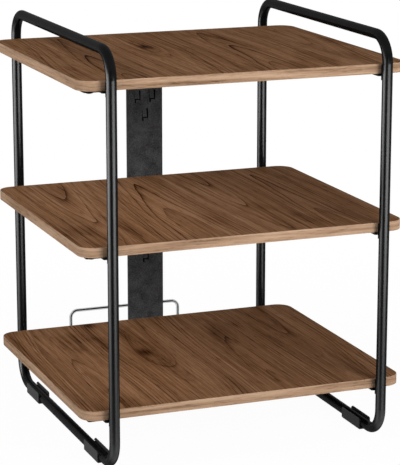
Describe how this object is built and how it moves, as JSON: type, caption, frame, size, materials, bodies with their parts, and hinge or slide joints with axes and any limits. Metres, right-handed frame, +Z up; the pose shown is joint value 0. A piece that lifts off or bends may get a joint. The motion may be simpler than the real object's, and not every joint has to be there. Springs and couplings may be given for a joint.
{
  "type": "open shelf stand",
  "caption": "Open shelf stand: walnut-effect boards on bent black tube loops, with a rear cable panel with pressed hooks, a chrome wire cable cradle and clip-on feet.",
  "frame": {"origin": "on the floor, under the middle of the stand's overall box", "axes": "+X to the right along the shelves' front edge, +Y from the front to the back, +Z up"},
  "size_m": [0.52, 0.592, 0.6385],
  "materials": {
    "frame_black": "satin black powder coat with a fine grain",
    "panel_black": "matt black textured powder coat",
    "walnut_laminate": "walnut-effect laminate, silk sheen, grain from front to back",
    "walnut_edge": "pale walnut edge band, silk sheen",
    "fastener_black": "black zinc",
    "insert_brass": "plain turned brass",
    "chrome_wire": "bright chrome plate",
    "foot_plastic": "moulded black plastic"
  },
  "bodies": {
    "stand": {"left_frame_tube": "frame_black", "right_frame_tube": "frame_black", "bottom_shelf_board": "walnut_laminate", "bottom_shelf_edge_band": "walnut_edge", "bottom_shelf_inserts": "insert_brass", "bottom_shelf_bolts": "fastener_black", "bottom_front_left_bracket": "frame_black", "bottom_front_right_bracket": "frame_black", "bottom_rear_left_bracket": "frame_black", "bottom_rear_right_bracket": "frame_black", "middle_shelf_board": "walnut_laminate", "middle_shelf_edge_band": "walnut_edge", "middle_shelf_inserts": "insert_brass", "middle_shelf_bolts": "fastener_black", "middle_front_left_bracket": "frame_black", "middle_front_right_bracket": "frame_black", "middle_rear_left_bracket": "frame_black", "middle_rear_right_bracket": "frame_black", "top_shelf_board": "walnut_laminate", "top_shelf_edge_band": "walnut_edge", "top_shelf_inserts": "insert_brass", "top_shelf_bolts": "fastener_black", "top_front_left_bracket": "frame_black", "top_front_right_bracket": "frame_black", "top_rear_left_bracket": "frame_black", "top_rear_right_bracket": "frame_black", "rear_cable_panel": "panel_black", "panel_back_cover": "panel_black", "panel_screws": "fastener_black", "cable_cradle_wire": "chrome_wire", "left_cradle_plate": "chrome_wire", "right_cradle_plate": "chrome_wire", "cradle_screws": "fastener_black"},
    "front_left_foot": {"front_left_foot_clip": "foot_plastic"},
    "front_right_foot": {"front_right_foot_clip": "foot_plastic"},
    "rear_left_foot": {"rear_left_foot_clip": "foot_plastic"},
    "rear_right_foot": {"rear_right_foot_clip": "foot_plastic"}
  },
  "joints": [
    {"name": "front_left_foot_slide", "type": "slide", "parent": "stand", "child": "front_left_foot", "axis": [0, 1, 0], "range_m": [-0.0144, 0.118]},
    {"name": "front_right_foot_slide", "type": "slide", "parent": "stand", "child": "front_right_foot", "axis": [0, 1, 0], "range_m": [-0.0144, 0.118]},
    {"name": "rear_left_foot_slide", "type": "slide", "parent": "stand", "child": "rear_left_foot", "axis": [0, -1, 0], "range_m": [-0.0144, 0.118]},
    {"name": "rear_right_foot_slide", "type": "slide", "parent": "stand", "child": "rear_right_foot", "axis": [0, -1, 0], "range_m": [-0.0144, 0.118]}
  ]
}
